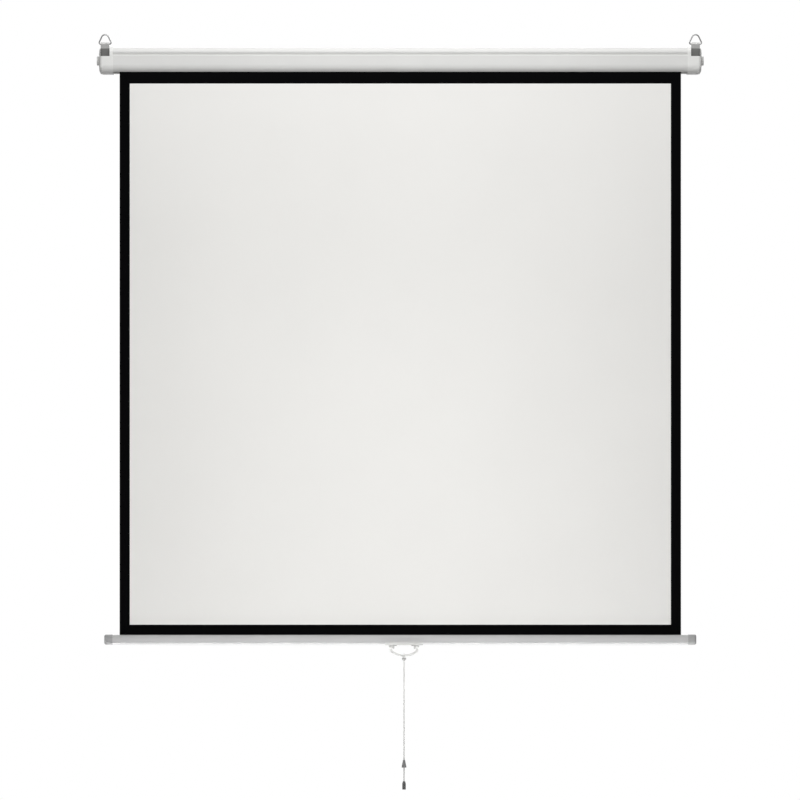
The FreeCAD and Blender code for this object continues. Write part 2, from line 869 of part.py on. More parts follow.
def ratchet():
    wheel = Solid("ratchet_wheel")
    radius = s.ratchet_diameter / 2
    disc = wheel.sketch()
    circle(disc, 0, 0, radius)
    circle(disc, 0, 0, s.pin_diameter / 2 + s.fit_gap)
    wheel.pad(disc, s.ratchet_thick, back=True)
    floor = radius - s.notch_depth
    clear = radius + s.notch_depth
    notch = wheel.sketch()
    draw(notch, [toward(clear, NOTCH_FACE), toward(floor, NOTCH_FACE),
                 toward(floor, NOTCH_FLOOR_END), toward(clear, NOTCH_RAMP_END)])
    first = wheel.pocket(notch)
    wheel.polar([first], NOTCHES)
    wheel.done(x=flange_face - s.lock_gap, z=axis_z)


def pawl(label, degrees):
    """A pawl whose nose stands clear of the wheel, modelled above the axis and then turned."""
    dog = Solid(label)
    eye = dog.sketch()
    circle(eye, 0, pawl_circle, s.pawl_eye_diameter / 2)
    dog.pad(eye, s.ratchet_thick, back=True)
    k = DIAGONAL
    tip = s.ratchet_diameter / 2 + s.pawl_release
    heel = tip + s.pawl_nose_length
    step = k * s.pawl_nose / 2
    low_y, low_z = toward(s.pawl_eye_diameter / 2, PAWL_UNDERSIDE)
    high_y, high_z = toward(s.pawl_eye_diameter / 2, PAWL_BACK)
    arm = dog.sketch()
    draw(arm, [
        (low_y, pawl_circle + low_z),
        (step - k * (heel - s.pawl_nose), step + k * (heel - s.pawl_nose)),
        (step - k * tip, step + k * tip),
        (-step - k * tip, k * tip - step),
        (-step - k * heel, k * heel - step),
        (step - k * heel, step + k * heel),
        (high_y, pawl_circle + high_z),
    ])
    dog.pad(arm, s.ratchet_thick, back=True)
    hole = dog.sketch()
    circle(hole, 0, pawl_circle, s.pawl_pin_diameter / 2 + s.running_gap)
    dog.pocket(hole)
    dog.body.Placement = Placement(Vector(), Rotation(Vector(1, 0, 0), degrees))
    dog.done(x=flange_face - s.lock_gap, z=axis_z)


def pawl_pins():
    shank = s.pawl_pin_seat + 2 * s.lock_gap + s.ratchet_thick
    head_x = flange_face - 2 * s.lock_gap - s.ratchet_thick
    rivets = []
    for name, height in (("upper", pawl_circle), ("lower", -pawl_circle)):
        rivets.append(fused(f"pawl_pin_{name}", [
            cylinder(f"pawl_pin_{name}_shank", s.pawl_pin_diameter / 2, shank, head_x, 0, axis_z + height),
            cylinder(f"pawl_pin_{name}_head", s.pawl_pin_head_diameter / 2, s.pawl_pin_head,
                     head_x - s.pawl_pin_head, 0, axis_z + height),
        ]))
    grouped("pawl_pins", rivets)


# Hanging fabric: the picture sheet down to the picture's lower edge, then the hem strip
def fabric():
    drop = doc.addObject("Part::Box", "screen_fabric")
    bind(drop, "Length", fabric_width)
    bind(drop, "Width", s.fabric_thick)
    bind(drop, "Height", axis_z - picture_bottom)
    keep(place(drop, -fabric_width / 2, sheet_y - s.fabric_thick / 2, picture_bottom), "screen_fabric")


bar_inner_radius = s.bar_depth / 2 - s.bar_wall
hem_outer = s.hem_rod_diameter / 2 + s.fit_gap + s.fabric_thick
hem_z = s.bar_height / 2 - s.bar_wall - s.hem_seat_gap - hem_outer


def hem():
    strip = Solid("fabric_hem")
    pocket = strip.sketch()
    circle(pocket, 0, hem_z, hem_outer)
    circle(pocket, 0, hem_z, hem_outer - s.fabric_thick)
    strip.pad(pocket, fabric_width, both=True)
    web = strip.sketch()
    rectangle(web, -s.fabric_thick / 2, s.fabric_thick / 2, hem_z + hem_outer - s.fabric_thick / 2,
              s.bar_height / 2 + s.bottom_border)
    strip.pad(web, fabric_width, both=True)
    strip.done(y=sheet_y, z=bar_z)
    keep(cylinder("hem_rod", s.hem_rod_diameter / 2, fabric_width,
                  -fabric_width / 2, sheet_y, bar_z + hem_z), "hem_rod")


# Bottom bar: an oblong tube slotted along its top, with a moulded cap in each end
def bottom_bar():
    bar = Solid("bottom_bar_tube")
    outer = bar.sketch()
    racetrack(outer, s.bar_depth, s.bar_height)
    bar.pad(outer, 2 * (bar_half - s.bar_cap_length), both=True)
    inner = bar.sketch()
    racetrack(inner, s.bar_depth - 2 * s.bar_wall, s.bar_height - 2 * s.bar_wall)
    bar.pocket(inner, 2 * bar_half, both=True)
    slot = bar.sketch()
    rectangle(slot, -s.bar_slot / 2, s.bar_slot / 2, s.bar_height / 2 - 2 * s.bar_wall, s.bar_height)
    bar.pocket(slot, 2 * bar_half, both=True)
    holes = bar.sketch("XY_Plane")
    for side in (-1, 1):
        circle(holes, s.handle_offset + side * s.handle_screw_spacing / 2, 0,
               s.handle_screw_diameter / 2 + s.fit_gap)
    bar.pocket(holes, s.bar_height)
    bar.done(y=sheet_y, z=bar_z)


def bar_cap():
    cap = Solid("bar_right_cap")
    outer = cap.sketch()
    racetrack(outer, s.bar_depth + 2 * s.bar_cap_proud, s.bar_height + 2 * s.bar_cap_proud)
    head = cap.pad(outer, s.bar_cap_length, back=True)
    cap.fillet(head, s.bar_cap_round, in_plane("X", Size.of(0)))
    spigot = cap.sketch(at=-s.bar_cap_length)
    inset = 2 * (s.bar_wall + s.fit_gap)
    racetrack(spigot, s.bar_depth - inset, s.bar_height - inset)
    cap.pad(spigot, s.bar_spigot, back=True)
    return cap.done(x=bar_half, y=sheet_y, z=bar_z)


# Handle: a saddle screwed under the bar, and a bail that swings on two pins between its lugs
saddle_inner = s.bar_depth / 2 + s.saddle_gap
saddle_outer = saddle_inner + s.saddle_wall
saddle_bend = s.bar_depth / 2 - s.bar_height / 2
lug_radius = s.bail_eye_diameter / 2
bail_pivot = saddle_bend - saddle_outer - s.bail_room - lug_radius
bail_apex = bail_pivot - s.bail_drop
bail_half = s.bail_width / 2
lug_outside = bail_half - s.bail_eye_width / 2 - s.bail_side_gap
lug_inside = lug_outside - s.lug_width


def handle_saddle():
    saddle = Solid("handle_saddle")
    rise = saddle_bend + s.saddle_rise
    cradle = saddle.sketch()
    draw(cradle, [
        (-saddle_outer, rise),
        (-saddle_outer, saddle_bend),
        (saddle_outer, saddle_bend, (0, saddle_bend), "left"),
        (saddle_outer, rise),
        (saddle_inner, rise),
        (saddle_inner, saddle_bend),
        (-saddle_inner, saddle_bend, (0, saddle_bend), "right"),
        (-saddle_inner, rise),
    ])
    saddle.pad(cradle, s.saddle_width, both=True)
    lug = saddle.sketch(at=lug_inside)
    root_z = saddle_bend - saddle_inner - s.saddle_wall / 4
    draw(lug, [
        (-lug_radius, root_z),
        (-lug_radius, bail_pivot),
        (lug_radius, bail_pivot, (0, bail_pivot), "left"),
        (lug_radius, root_z),
    ])
    right_lug = saddle.pad(lug, s.lug_width)
    saddle.mirror([right_lug])
    pin_hole = saddle.sketch()
    circle(pin_hole, 0, bail_pivot, s.bail_pin_diameter / 2 + s.fit_gap)
    saddle.pocket(pin_hole, s.saddle_width, both=True)
    holes = saddle.sketch("XY_Plane", at=saddle_bend)
    for sign in (-1, 1):
        circle(holes, sign * s.handle_screw_spacing / 2, 0, s.handle_screw_diameter / 2 + s.screw_play)
    saddle.pocket(holes, s.bar_height)
    saddle.done(x=s.handle_offset, y=sheet_y, z=bar_z)


def handle_bail():
    bail = Solid("handle_bail")
    corner, sweep = s.bail_corner, s.bail_sweep
    reach = root((sweep - corner) * (sweep - corner) - (bail_half - corner) * (bail_half - corner))
    sweep_z = sweep - s.bail_drop
    corner_z = sweep_z - reach
    share = sweep / (sweep - corner)
    section = bail.sketch()
    circle(section, 0, -s.bail_drop, s.bail_rod / 2)
    path = bail.sketch("XZ_Plane")
    draw(path, [
        (0, -s.bail_drop),
        (share * (bail_half - corner), sweep_z - share * reach, (0, sweep_z), "left"),
        (bail_half, corner_z, (bail_half - corner, corner_z), "left"),
        (bail_half, -lug_radius / 2),
    ], closed=False)
    side = bail.sweep(section, path)
    eye = bail.sketch(at=bail_half - s.bail_eye_width / 2)
    circle(eye, 0, 0, lug_radius)
    boss = bail.pad(eye, s.bail_eye_width)
    bail.mirror([side, boss])
    hole = bail.sketch()
    circle(hole, 0, 0, s.bail_pin_diameter / 2 + s.running_gap)
    bail.pocket(hole, 2 * s.bail_width, both=True)
    bail.done(x=s.handle_offset, y=sheet_y, z=bar_z + bail_pivot)


def handle_pins():
    head_x = bail_half + s.bail_eye_width / 2 + s.bail_side_gap
    pins = []
    for side, hand in ((-1, "left"), (1, "right")):
        shank_x = lug_inside if side > 0 else -head_x
        cap_x = head_x if side > 0 else -head_x - s.bail_pin_head
        pins.append(fused(f"handle_pin_{hand}", [
            cylinder(f"handle_pin_{hand}_shank", s.bail_pin_diameter / 2, head_x - lug_inside,
                     s.handle_offset + shank_x, sheet_y, bar_z + bail_pivot),
            cylinder(f"handle_pin_{hand}_head", s.bail_pin_head_diameter / 2, s.bail_pin_head,
                     s.handle_offset + cap_x, sheet_y, bar_z + bail_pivot),
        ]))
    grouped("handle_pins", pins)


# Pull cord: looped round the bail, gathered in a ferrule, then straight down to its bead and knob
cord_radius = s.cord_diameter / 2
loop_radius = s.bail_rod / 2 + s.loop_gap + cord_radius
cord_pivot = bar_z + bail_apex
loop_foot = -(loop_radius + s.loop_drop)
ferrule_top = cord_pivot + loop_foot - cord_radius + s.ferrule_seat
ferrule_low = ferrule_top - s.ferrule_length
bead_top = ferrule_low - s.cord_to_bead
bead_low = bead_top - s.bead_length
knob_top = bead_low - s.bead_to_knob


def cord_loop():
    """A teardrop of cord round the bail, whose two ends meet in the ferrule."""
    loop = Solid("cord_loop")
    middle = (Size.of(0), Size.of(0))
    touch, foot = belt(middle, loop_radius, (cord_radius + s.strand_gap / 2, loop_foot), Size.of(0))
    section = loop.sketch("XZ_Plane")
    circle(section, 0, loop_radius, cord_radius)
    path = loop.sketch()
    draw(path, [(0, loop_radius), (*touch, middle, "right"), foot], closed=False)
    half = loop.sweep(section, path)
    loop.mirror([half], "XZ_Plane")
    loop.done(x=s.handle_offset, y=sheet_y, z=cord_pivot)


def turned(label, corners, z):
    """A piece turned about the cord's line, from (radius, height) corners below z."""
    bead = Solid(label)
    profile = bead.sketch("XZ_Plane")
    draw(profile, corners)
    bead.revolve(profile, "V_Axis")
    bead.done(x=s.handle_offset, y=sheet_y, z=z)


def bell(diameter, neck, length, rim):
    """Corners of a bead that widens from its neck down to a straight rim."""
    return [(0, -length), (diameter / 2, -length), (diameter / 2, rim - length), (neck / 2, 0), (0, 0)]


def pull_cord():
    cord_loop()
    turned("cord_ferrule", [
        (0, -s.ferrule_length),
        (s.ferrule_mouth / 2, -s.ferrule_length),
        (s.ferrule_diameter / 2, -s.ferrule_length / 2),
        (s.ferrule_diameter / 2, 0),
        (s.ferrule_diameter / 2 - s.ferrule_wall, 0),
        (s.ferrule_diameter / 2 - s.ferrule_wall, -s.ferrule_seat),
        (0, -s.ferrule_seat),
    ], ferrule_top)
    turned("cord_bead", bell(s.bead_diameter, s.bead_neck, s.bead_length, s.bead_rim), bead_top)
    turned("cord_knob", bell(s.knob_diameter, s.knob_neck, s.knob_length, s.knob_rim), knob_top)
    lengths = {"cord_upper": (s.cord_to_bead, bead_top), "cord_lower": (s.bead_to_knob, knob_top)}
    for label, (length, low) in lengths.items():
        keep(cylinder(label, cord_radius, length, s.handle_offset, sheet_y, low, along="z"), label)


# Fasteners: pan-headed screws with a cross recess
class Screw:
    """The sizes of one kind of screw."""

    def __init__(self, kind, length):
        self.length = length
        self.radius = getattr(s, f"{kind}_diameter") / 2
        self.head_radius = getattr(s, f"{kind}_head_diameter") / 2
        self.head = getattr(s, f"{kind}_head")

    def make(self, name, side):
        """Turn one screw about X, its seat at x = 0 and its head towards side."""
        turning = Solid(name)
        profile = turning.sketch("XY_Plane")
        rim = self.head * s.head_rim
        draw(profile, [
            (-side * self.length, 0),
            (-side * self.length, self.radius),
            (0, self.radius),
            (0, self.head_radius),
            (side * rim, self.head_radius),
            (side * self.head, self.head_radius * s.head_crown),
            (side * self.head, 0),
        ])
        turning.revolve(profile)
        a, b = self.head_radius * s.recess_width / 2, self.head_radius * s.recess_reach
        cross = turning.sketch(at=side * self.head)
        draw(cross, [(a, a), (a, b), (-a, b), (-a, a), (-b, a), (-b, -a),
                     (-a, -a), (-a, -b), (a, -b), (a, -a), (b, -a), (b, a)])
        turning.pocket(cross, rim, back=side < 0)
        return turning.body


def end_screws(kind, length, places, seat):
    """Screws of one kind in both end caps, with their heads seated below the outer face."""
    screw = Screw(kind, length)
    made = []
    for side, hand in ((-1, "left"), (1, "right")):
        for i, (y, z) in enumerate(places):
            body = screw.make(f"{kind}_{hand}_{i}", side)
            made.append(place(body, side * (half_length - seat), y, axis_z + z))
    grouped(f"{kind}s", made)


def handle_screws():
    screw = Screw("handle_screw", s.handle_screw_length)
    made = []
    for side, hand in ((-1, "left"), (1, "right")):
        body = screw.make(f"handle_screw_{hand}", 1)
        body.Placement = Placement(Vector(), Rotation(Vector(0, 1, 0), 90))
        x = s.handle_offset + side * s.handle_screw_spacing / 2
        made.append(place(body, x, sheet_y, bar_z + saddle_bend - saddle_outer))
    grouped("handle_screws", made)


def screws():
    cap_screw_length = s.end_wall + chamber + s.cap_screw_grip - s.cap_screw_seat
    end_screws("cap_screw", cap_screw_length, port_places, s.cap_screw_seat)
    end_screws("strap_screw", s.strap_screw_length, strap_screw_places, Size.of(0))
    handle_screws()


def build():
    casing()
    mirrored("left_end_cap", end_cap())
    mirrored("left_hanging_strap", hanging_strap())
    mirrored("left_hanging_ring", hanging_ring())
    bush("idle_bush", 1, round_bore)
    bush("spindle_bush", -1, flat_bore)
    roller_tube()
    roller_ends()
    spindle()
    spring_anchor()
    torsion_spring()
    ratchet()
    pawl("upper_pawl", 0)
    pawl("lower_pawl", 180)
    pawl_pins()
    fabric()
    hem()
    bottom_bar()
    mirrored("bar_left_cap", bar_cap())
    handle_saddle()
    handle_bail()
    handle_pins()
    pull_cord()
    screws()
    doc.recompute()


def check():
    """Stop if any object failed or any piece is not a sound shape."""
    for thing in doc.Objects:
        if "Invalid" in thing.State or "Error" in thing.State:
            raise RuntimeError(f"{thing.Name} failed: {thing.State}")
    for piece in pieces:
        if piece.Shape.isNull() or not piece.Shape.isValid() or not piece.Shape.Solids:
            raise RuntimeError(f"{piece.Label} has no sound shape")


build()
check()
os.makedirs("parts", exist_ok=True)
for piece in pieces:
    piece.Shape.exportStep(f"parts/{piece.Label}.step")
print(f"{len(pieces)} pieces written")
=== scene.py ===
import json
import logging
import math
from dataclasses import dataclass
from enum import Enum
from typing import Optional, Sequence

import bpy
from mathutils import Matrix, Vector


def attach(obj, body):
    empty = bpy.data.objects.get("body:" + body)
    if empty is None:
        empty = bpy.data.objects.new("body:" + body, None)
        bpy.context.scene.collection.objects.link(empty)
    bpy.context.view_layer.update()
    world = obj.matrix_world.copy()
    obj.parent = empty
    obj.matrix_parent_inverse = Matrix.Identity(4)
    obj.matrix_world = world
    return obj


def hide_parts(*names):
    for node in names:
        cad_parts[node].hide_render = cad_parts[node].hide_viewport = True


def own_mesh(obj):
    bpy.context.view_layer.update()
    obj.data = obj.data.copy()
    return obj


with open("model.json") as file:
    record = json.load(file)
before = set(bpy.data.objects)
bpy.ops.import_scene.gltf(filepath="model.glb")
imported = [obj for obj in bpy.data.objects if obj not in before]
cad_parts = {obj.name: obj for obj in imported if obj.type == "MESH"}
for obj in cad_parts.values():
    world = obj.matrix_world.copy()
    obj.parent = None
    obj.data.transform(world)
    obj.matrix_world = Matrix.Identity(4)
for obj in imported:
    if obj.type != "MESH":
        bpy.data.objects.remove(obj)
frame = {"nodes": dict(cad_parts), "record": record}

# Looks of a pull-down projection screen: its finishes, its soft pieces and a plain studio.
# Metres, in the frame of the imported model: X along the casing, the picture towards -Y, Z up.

logging.basicConfig(level=logging.INFO, format="%(message)s")
log = logging.getLogger("projection_screen")

MM = 0.001
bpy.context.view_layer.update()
SLOT_OF = {part["node"]: part["material_slot"] for part in frame["record"]["subparts"]}

Point = tuple[float, float, float]
Flat = tuple[float, float]

# A cord's curve: steps round its section, steps along each span and order of the spline
CORD_ROUND = 6
CORD_STEPS = 8
CORD_ORDER = 3
# Least cosine at which a ribbon's corner is still mitred
LEAST_MITRE = 0.5


def linear(code: str) -> tuple[float, float, float, float]:
    """Turn an sRGB hex colour into linear light.

    Args:
        code: Six hex digits.

    Returns:
        Linear red, green and blue, and full opacity.
    """
    channels = [int(code[i:i + 2], 16) / 255 for i in (0, 2, 4)]
    # The curve that the sRGB standard gives
    light = [c / 12.92 if c <= 0.04045 else ((c + 0.055) / 1.055) ** 2.4 for c in channels]
    return (*light, 1.0)


def add_node(
    tree: bpy.types.NodeTree, kind: str, inputs: Optional[dict] = None, **settings: object,
) -> bpy.types.Node:
    """Add a node with its settings and links.

    Args:
        tree: Where it goes.
        kind: Blender's name for the node type.
        inputs: Values or sockets, by the input's name or number.
        **settings: Properties of the node itself.

    Returns:
        The new node.
    """
    node = tree.nodes.new(kind)
    for key, value in settings.items():
        setattr(node, key, value)
    for key, value in (inputs or {}).items():
        if isinstance(value, bpy.types.NodeSocket):
            tree.links.new(value, node.inputs[key])
        else:
            node.inputs[key].default_value = value
    return node


class Pattern(Enum):
    """What a way of making leaves on a surface."""

    GRAIN = "fine speckle of a moulded, sprayed or blasted surface"
    DRAWN_X = "lines of drawing or extruding along X"
    SPANGLE = "crystals of a zinc coat"
    WEAVE = "crossing threads"
    BRAID = "crossing diagonal strands"


# Scale of the coordinates that makes a drawn line 50 times as long as wide
DRAWN_STRETCH = (0.02, 1.0, 1.0)
BRAID_ANGLE = math.radians(38)
NOISE_DETAIL = 3.0
# How much the fine pattern adds to the slow drift, and the stretch of their sum that the colours span
FINE_SHARE = 0.35
DRIFT_RANGE = (0.3, 1.1)
BUMP_STRENGTH = 0.6
# Numbers of the colour sockets on a mix node: its two inputs and its output
MIX_FROM = 6
MIX_TO = 7
MIX_OUT = 2


@dataclass(frozen=True)
class Finish:
    """A real material and how its surface was made.

    Attributes:
        name: The material's common name and make.
        colour: Main sRGB colour.
        drift: sRGB colour that the main one drifts towards.
        pattern: Fine pattern of the surface.
        pitch_mm: Size of one grain, line, crystal or thread.
        relief_mm: Depth of the fine pattern.
        cloud_mm: Size of the slow drift in colour and gloss.
        roughness: Lowest and highest roughness.
        ior: Refractive index, left at the default on metal.
        metallic: Share of metal.
        coat: Weight of a clear coat.
        sheen: Weight of a cloth sheen.
        specular: Level of the mirror-like share.
        painted_shade: sRGB colour painted on the lower part as shade, where there is any.
        painted_shade_z: Height below which the painted shade starts.
    """

    name: str
    colour: str
    drift: str
    pattern: Pattern = Pattern.GRAIN
    pitch_mm: float = 0.6
    relief_mm: float = 0.02
    cloud_mm: float = 120.0
    roughness: Flat = (0.42, 0.54)
    ior: float = 1.5
    metallic: float = 0.0
    coat: float = 0.0
    sheen: float = 0.0
    specular: float = 0.5
    painted_shade: Optional[str] = None
    painted_shade_z: float = 0.0


FINISHES: dict[str, Finish] = {
    # Powder-coated aluminium extrusion: an even satin white, broken only by a faint orange peel
    "casing_paint": Finish(
        "powder_coated_aluminium_white", "E0E0DE", "D9D9D7",
        pitch_mm=1.4, relief_mm=0.03, roughness=(0.48, 0.56), specular=0.25,
    ),
    # Moulded ABS: matt off-white with a fine spark-eroded texture, drawn coarser than it is
    # so that it shows
    "cap_plastic": Finish(
        "moulded_abs_white", "EAEAE8", "E1E1DF",
        pitch_mm=0.6, relief_mm=0.025, ior=1.53, specular=0.25,
    ),
    # Galvanised strip: zinc crystals that each catch the light a little differently, mid grey above the
    # casing, with a darker grey painted below its top as the shade where the strap sits in the caps'
    # recess
    "strap_steel": Finish(
        "galvanised_strip_steel_painted_shade", "989897", "868685", Pattern.SPANGLE,
        pitch_mm=5.0, relief_mm=0.004, cloud_mm=30.0, roughness=(0.3, 0.45), metallic=1.0,
        painted_shade="646463", painted_shade_z=-0.039,
    ),
    # Zinc-plated wire: mid grey, with the long scratches of the drawing die
    "ring_steel": Finish(
        "zinc_plated_wire", "8E8E8E", "767676", Pattern.DRAWN_X,
        pitch_mm=0.4, relief_mm=0.01, cloud_mm=20.0, roughness=(0.24, 0.36), metallic=1.0,
    ),
    # Bright zinc on turned steel: small even highlights
    "screw_steel": Finish(
        "zinc_plated_screw_steel", "B4B4B2", "9C9C97", Pattern.GRAIN,
        pitch_mm=0.5, relief_mm=0.01, cloud_mm=12.0, roughness=(0.25, 0.4), metallic=1.0,
    ),
    # Natural acetal: waxy, slightly yellow white
    "bush_plastic": Finish(
        "moulded_acetal", "D8D6CC", "CCC9BC",
        roughness=(0.38, 0.5), ior=1.48,
    ),
    # Galvanised tube: drawn lines under a dull grey sheen
    "roller_steel": Finish(
        "galvanised_tube_steel", "A8A9AA", "8C8D8E", Pattern.DRAWN_X,
        pitch_mm=0.6, relief_mm=0.01, cloud_mm=40.0, roughness=(0.32, 0.5), metallic=1.0,
    ),
    # Filled nylon: near-black, dry and even
    "plug_plastic": Finish(
        "moulded_nylon_black", "232323", "2C2C2C",
        roughness=(0.5, 0.62), ior=1.53,
    ),
    # Bright drawn bar: clean lengthwise lines
    "spindle_steel": Finish(
        "bright_drawn_bar", "9A9A9A", "808080", Pattern.DRAWN_X,
        pitch_mm=0.4, relief_mm=0.01, cloud_mm=30.0, roughness=(0.28, 0.4), metallic=1.0,
    ),
    # Blanked and hardened steel: brownish grey, grainy and dull
    "lock_steel": Finish(
        "hardened_plate_steel", "86837E", "6F6D69", Pattern.GRAIN,
        pitch_mm=0.3, relief_mm=0.02, cloud_mm=10.0, roughness=(0.42, 0.56), metallic=1.0,
    ),
    # Oil-tempered wire: dark blue grey with an oily gloss
    "spring_steel": Finish(
        "oil_tempered_wire", "56575A", "444548", Pattern.DRAWN_X,
        pitch_mm=0.4, relief_mm=0.01, cloud_mm=20.0, roughness=(0.28, 0.42), metallic=1.0,
    ),
    # Matt PVC on glass cloth: dead white, its 0.4 mm threads drawn at about twice the size
    # so that they show
    "screen_vinyl": Finish(
        "pvc_coated_glass_cloth_white", "F4F3F0", "F0EFEC", Pattern.WEAVE,
        pitch_mm=0.9, relief_mm=0.02, cloud_mm=420.0, roughness=(0.82, 0.9), ior=1.53, sheen=0.05,
    ),
    # The same cloth printed with black masking ink, which gives back almost no light
    "border_vinyl": Finish(
        "pvc_coated_glass_cloth_black", "050506", "080809", Pattern.WEAVE,
        pitch_mm=0.9, relief_mm=0.02, cloud_mm=200.0, roughness=(0.8, 0.9), ior=1.53, specular=0.02,
    ),
    # Bright drawn rod: clean lengthwise lines, seen only where the hem ends
    "rod_steel": Finish(
        "bright_drawn_rod", "9A9A9A", "868686", Pattern.DRAWN_X,
        pitch_mm=0.4, relief_mm=0.01, cloud_mm=30.0, roughness=(0.3, 0.4), metallic=1.0,
    ),
    # Silver lacquer on extruded aluminium: satin grey over faint die lines
    "bar_paint": Finish(
        "lacquered_extrusion_silver", "C0C0C0", "B6B6B6", Pattern.DRAWN_X,
        pitch_mm=0.7, relief_mm=0.012, cloud_mm=160.0, roughness=(0.32, 0.42), coat=0.15,
    ),
    # Moulded ABS in grey, a little glossier than the casing's caps
    "bar_cap_plastic": Finish(
        "moulded_abs_grey", "A6A6A6", "9B9B9B",
        relief_mm=0.03, ior=1.53,
    ),
    # Moulded ABS in a pale grey, matt beside the polished bail
    "saddle_plastic": Finish(
        "moulded_abs_pale_grey", "C4C4C2", "BBBBB9",
        relief_mm=0.02, ior=1.53,
    ),
    # Polished polypropylene: white and smooth, with a soft shine
    "handle_plastic": Finish(
        "polished_polypropylene", "E2E2E0", "DADAD8",
        relief_mm=0.008, roughness=(0.25, 0.34), ior=1.49, coat=0.2,
    ),
    # Braided polyester: soft white strands that cross at a slant
    "cord_fibre": Finish(
        "braided_polyester", "F4F4F1", "E6E6E2", Pattern.BRAID,
        pitch_mm=1.1, relief_mm=0.12, cloud_mm=12.0, roughness=(0.75, 0.9), ior=1.57, sheen=0.2,
    ),
    # Moulded nylon in light grey: smooth, with a dull shine
    "ferrule_plastic": Finish(
        "moulded_nylon_light_grey", "BEBEBC", "B2B2B0",
        roughness=(0.4, 0.5), ior=1.53,
    ),
    # Moulded nylon in mid grey: smooth and a little shinier
    "bead_plastic": Finish(
        "moulded_nylon_mid_grey", "8C8C8C", "828282",
        roughness=(0.36, 0.48), ior=1.53,
    ),
    # Moulded nylon in dark grey: smooth and the shiniest of the three
    "knob_plastic": Finish(
        "moulded_nylon_dark_grey", "606060", "565656",
        roughness=(0.34, 0.46), ior=1.53,
    ),
    # Painted studio floor: pale, matt and even
    "floor_paint": Finish(
        "matt_floor_paint", "DCDCDC", "D6D6D6",
        pitch_mm=1.5, roughness=(0.7, 0.8),
    ),
}


